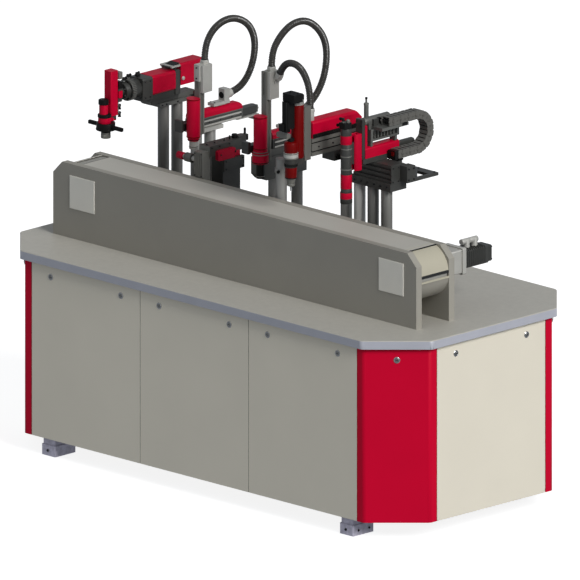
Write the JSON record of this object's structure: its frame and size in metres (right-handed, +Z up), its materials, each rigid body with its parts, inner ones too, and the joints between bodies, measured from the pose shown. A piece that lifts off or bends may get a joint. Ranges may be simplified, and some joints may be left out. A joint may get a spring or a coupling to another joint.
{
  "type": "robot handling cell",
  "caption": "Bench-top handling cell: modular linear robot arms on round columns reach over a belt conveyor that stands on a panelled machine base with cut corners.",
  "frame": {"origin": "on the floor, under the middle of the worktop", "axes": "+X along the front, left to right as the operator sees it; +Y from the front to the back; +Z up"},
  "size_m": [2.624, 1.244, 2.0456],
  "materials": {
    "panel_cream": "fine textured powder coat",
    "panel_red": "smooth powder coat",
    "worktop_laminate": "satin laminate",
    "frame_steel": "painted tube",
    "foot_steel": "cast and painted",
    "conveyor_paint": "painted plate",
    "access_light": "painted plate",
    "belt_grey": "woven belt",
    "guard_beige": "painted sheet",
    "drum_steel": "turned",
    "gear_grey": "cast",
    "black_housing": "satin black",
    "black_alloy": "anodised black",
    "column_grey": "ground",
    "light_alloy": "anodised",
    "cover_red": "moulded",
    "conduit_grey": "corrugated polyamide",
    "chain_grey": "moulded links",
    "bit_steel": "hardened"
  },
  "bodies": {
    "bench": {"arm1_mount": "black_alloy", "arm2_conduit": "conduit_grey", "arm2_cover": "cover_red", "arm2_housing": "light_alloy", "arm2_mount": "black_alloy", "arm3_conduit": "conduit_grey", "arm3_cover": "cover_red", "arm3_housing": "black_alloy", "arm3_mount": "black_alloy", "arm4_beam": "black_alloy", "arm4_conduit": "conduit_grey", "arm4_cover": "cover_red", "arm5_mount": "black_alloy", "base_frame": "frame_steel", "belt_support": "drum_steel", "column_flanges": "black_alloy", "conveyor_access_plates": "access_light", "conveyor_belt": "belt_grey", "conveyor_guards": "guard_beige", "conveyor_side_plates": "conveyor_paint", "corner_panels": "panel_red", "drag_chain": "chain_grey", "drive_motor": "black_housing", "end_panels": "panel_cream", "feeder_body": "black_alloy", "gearbox": "gear_grey", "hose_fittings": "light_alloy", "levelling_feet": "foot_steel", "rear_panels": "panel_cream", "support_columns": "column_grey", "worktop": "worktop_laminate"},
    "door_left": {"front_door_left": "panel_cream"},
    "door_middle": {"front_door_middle": "panel_cream"},
    "door_right": {"front_door_right": "panel_cream"},
    "drive_roller": {"drive_drum": "drum_steel"},
    "idler_roller": {"idler_drum": "drum_steel"},
    "arm1_slide": {"arm1_carriage": "black_alloy", "arm1_covers": "cover_red"},
    "arm1_head": {"arm1_wrist": "black_alloy", "arm1_head_cover": "cover_red"},
    "arm1_lift": {"arm1_spindle": "black_alloy", "arm1_gripper": "black_alloy"},
    "arm1_finger_left": {"arm1_jaw_left": "black_alloy"},
    "arm1_finger_right": {"arm1_jaw_right": "black_alloy"},
    "arm2_reach": {"arm2_ram": "black_alloy", "arm2_lift_profile": "light_alloy", "arm2_lift_cover": "cover_red"},
    "arm2_lift": {"arm2_tool": "light_alloy"},
    "feeder_pin": {"feeder_stop": "light_alloy"},
    "arm3_reach": {"arm3_ram": "black_alloy", "arm3_lift_profile": "light_alloy", "arm3_lift_cover": "cover_red"},
    "arm3_lift": {"arm3_tool": "black_alloy"},
    "screwdriver": {"arm4_screwdriver": "cover_red", "arm4_motor": "black_housing", "arm4_nose": "light_alloy"},
    "bit": {"arm4_bit": "bit_steel"},
    "arm5_slide": {"arm5_carriage": "light_alloy", "arm5_cover": "cover_red"},
    "arm5_lift": {"arm5_tool": "black_alloy"}
  },
  "joints": [
    {"name": "door_left_tilt", "type": "hinge", "parent": "bench", "child": "door_left", "pos_m": [-0.69, -0.6, 0.085], "axis": [1, 0, 0], "range_deg": [0, 25]},
    {"name": "door_middle_tilt", "type": "hinge", "parent": "bench", "child": "door_middle", "pos_m": [0, -0.6, 0.085], "axis": [1, 0, 0], "range_deg": [0, 25]},
    {"name": "door_right_tilt", "type": "hinge", "parent": "bench", "child": "door_right", "pos_m": [0.69, -0.6, 0.085], "axis": [1, 0, 0], "range_deg": [0, 25]},
    {"name": "drive_roller_spin", "type": "hinge", "parent": "bench", "child": "drive_roller", "pos_m": [1.003, -0.1915, 1.165], "axis": [0, 1, 0], "continuous": true},
    {"name": "idler_roller_spin", "type": "hinge", "parent": "bench", "child": "idler_roller", "pos_m": [-1.062, -0.1915, 1.165], "axis": [0, 1, 0], "continuous": true},
    {"name": "arm1_retract", "type": "slide", "parent": "bench", "child": "arm1_slide", "axis": [0, 1, 0], "range_m": [0, 0.1]},
    {"name": "arm1_swivel", "type": "hinge", "parent": "arm1_slide", "child": "arm1_head", "pos_m": [-0.977, -0.05, 1.6], "axis": [0, 1, 0], "range_deg": [0, 90]},
    {"name": "arm1_lower", "type": "slide", "parent": "arm1_head", "child": "arm1_lift", "axis": [0, 0, -1], "range_m": [0, 0.1]},
    {"name": "arm1_close_left", "type": "slide", "parent": "arm1_lift", "child": "arm1_finger_left", "axis": [1, 0, 0], "range_m": [0, 0.011]},
    {"name": "arm1_close_right", "type": "slide", "parent": "arm1_lift", "child": "arm1_finger_right", "axis": [-1, 0, 0], "range_m": [0, 0.011]},
    {"name": "arm2_extend", "type": "slide", "parent": "bench", "child": "arm2_reach", "axis": [0, -1, 0], "range_m": [0, 0.2], "deforming": ["arm2_conduit"]},
    {"name": "arm2_lower", "type": "slide", "parent": "arm2_reach", "child": "arm2_lift", "axis": [0, 0, -1], "range_m": [0, 0.08]},
    {"name": "feeder_advance", "type": "slide", "parent": "bench", "child": "feeder_pin", "axis": [-1, 0, 0], "range_m": [0, 0.03]},
    {"name": "arm3_extend", "type": "slide", "parent": "bench", "child": "arm3_reach", "axis": [0, -1, 0], "range_m": [0, 0.15], "deforming": ["arm3_conduit", "arm4_conduit"]},
    {"name": "arm3_lower", "type": "slide", "parent": "arm3_reach", "child": "arm3_lift", "axis": [0, 0, -1], "range_m": [0, 0.06]},
    {"name": "screwdriver_lower", "type": "slide", "parent": "bench", "child": "screwdriver", "axis": [0, 0, -1], "range_m": [0, 0.08]},
    {"name": "bit_spin", "type": "hinge", "parent": "screwdriver", "child": "bit", "pos_m": [0.1995, -0.184, 1.42], "axis": [0, 0, 1], "continuous": true},
    {"name": "arm5_extend", "type": "slide", "parent": "bench", "child": "arm5_slide", "axis": [0, -1, 0], "range_m": [0, 0.15], "deforming": ["drag_chain"]},
    {"name": "arm5_lower", "type": "slide", "parent": "arm5_slide", "child": "arm5_lift", "axis": [0, 0, -1], "range_m": [0, 0.035]}
  ],
  "couplings": [
    {"joint": "idler_roller_spin", "follows": "drive_roller_spin", "ratio": 1},
    {"joint": "arm1_close_right", "follows": "arm1_close_left", "ratio": 1}
  ]
}
